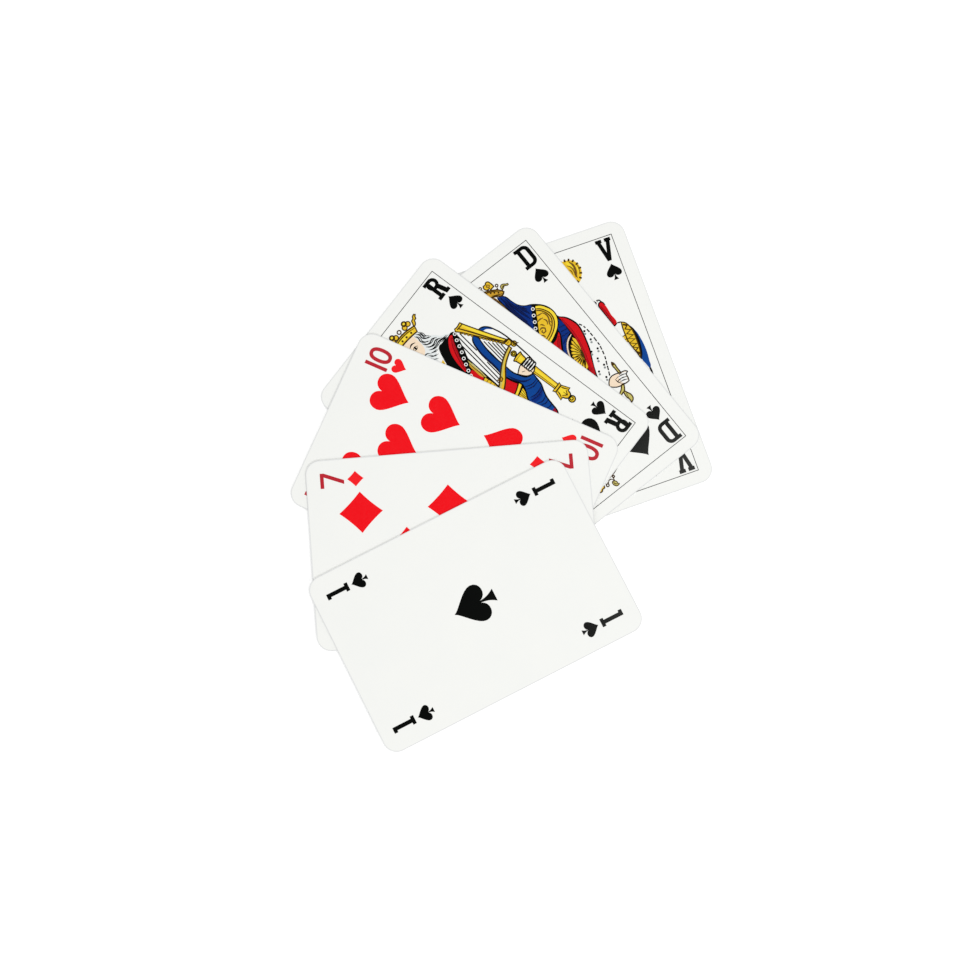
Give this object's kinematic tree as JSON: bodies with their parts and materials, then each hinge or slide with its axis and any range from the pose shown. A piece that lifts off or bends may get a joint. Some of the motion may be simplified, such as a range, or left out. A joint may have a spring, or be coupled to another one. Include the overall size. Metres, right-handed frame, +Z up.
{
  "type": "fan of playing cards",
  "caption": "Loose playing cards with French suits lying face up in an open fan; each card is two glued papers with printed face, and turns about the fan's pinch point.",
  "frame": {"origin": "middle of the fan's outline, on the surface that the lowest card lies on", "axes": "+Z up, out of the printed faces; +Y along the fan's longer side, from the top card to the bottom card; +X across it, towards the pinched lower ends of the cards"},
  "size_m": [0.1308, 0.166, 0.002],
  "materials": {
    "face_paper": "satin",
    "back_paper": "satin",
    "core_glue": "matte",
    "black_ink": "satin",
    "red_ink": "satin",
    "gold_ink": "satin",
    "blue_ink": "satin",
    "flesh_ink": "satin"
  },
  "bodies": {
    "jack_card": {"jack_back_sheet": "back_paper", "jack_core": "core_glue", "jack_face_sheet": "face_paper", "jack_marks": "black_ink", "jack_indices": "black_ink", "jack_frame_line": "black_ink", "jack_black_ink": "black_ink", "jack_flesh_ink": "flesh_ink", "jack_gold_ink": "gold_ink", "jack_red_ink": "red_ink", "jack_blue_ink": "blue_ink"},
    "queen_card": {"queen_back_sheet": "back_paper", "queen_core": "core_glue", "queen_face_sheet": "face_paper", "queen_marks": "black_ink", "queen_indices": "black_ink", "queen_frame_line": "black_ink", "queen_black_ink": "black_ink", "queen_flesh_ink": "flesh_ink", "queen_gold_ink": "gold_ink", "queen_red_ink": "red_ink", "queen_blue_ink": "blue_ink"},
    "king_card": {"king_back_sheet": "back_paper", "king_core": "core_glue", "king_face_sheet": "face_paper", "king_marks": "black_ink", "king_indices": "black_ink", "king_frame_line": "black_ink", "king_black_ink": "black_ink", "king_flesh_ink": "flesh_ink", "king_gold_ink": "gold_ink", "king_red_ink": "red_ink", "king_blue_ink": "blue_ink"},
    "ten_card": {"ten_back_sheet": "back_paper", "ten_core": "core_glue", "ten_face_sheet": "face_paper", "ten_marks": "red_ink", "ten_indices": "red_ink"},
    "seven_card": {"seven_back_sheet": "back_paper", "seven_core": "core_glue", "seven_face_sheet": "face_paper", "seven_marks": "red_ink", "seven_indices": "red_ink"},
    "ace_card": {"ace_back_sheet": "back_paper", "ace_core": "core_glue", "ace_face_sheet": "face_paper", "ace_marks": "black_ink", "ace_indices": "black_ink"}
  },
  "joints": [
    {"name": "queen_turn", "type": "hinge", "parent": "jack_card", "child": "queen_card", "pos_m": [0.0162, -0.00757, 0.00034], "axis": [0, 0, 1], "range_deg": [-19.1, 16.9]},
    {"name": "king_turn", "type": "hinge", "parent": "queen_card", "child": "king_card", "pos_m": [0.0162, -0.00757, 0.00068], "axis": [0, 0, 1], "range_deg": [-14.3, 21.7]},
    {"name": "ten_turn", "type": "hinge", "parent": "king_card", "child": "ten_card", "pos_m": [0.0162, -0.00757, 0.00102], "axis": [0, 0, 1], "range_deg": [-13.5, 22.5]},
    {"name": "seven_turn", "type": "hinge", "parent": "ten_card", "child": "seven_card", "pos_m": [0.0162, -0.00757, 0.00136], "axis": [0, 0, 1], "range_deg": [-28.5, 7.5]},
    {"name": "ace_turn", "type": "hinge", "parent": "seven_card", "child": "ace_card", "pos_m": [0.0162, -0.00757, 0.0017], "axis": [0, 0, 1], "range_deg": [-22.3, 13.7]}
  ]
}
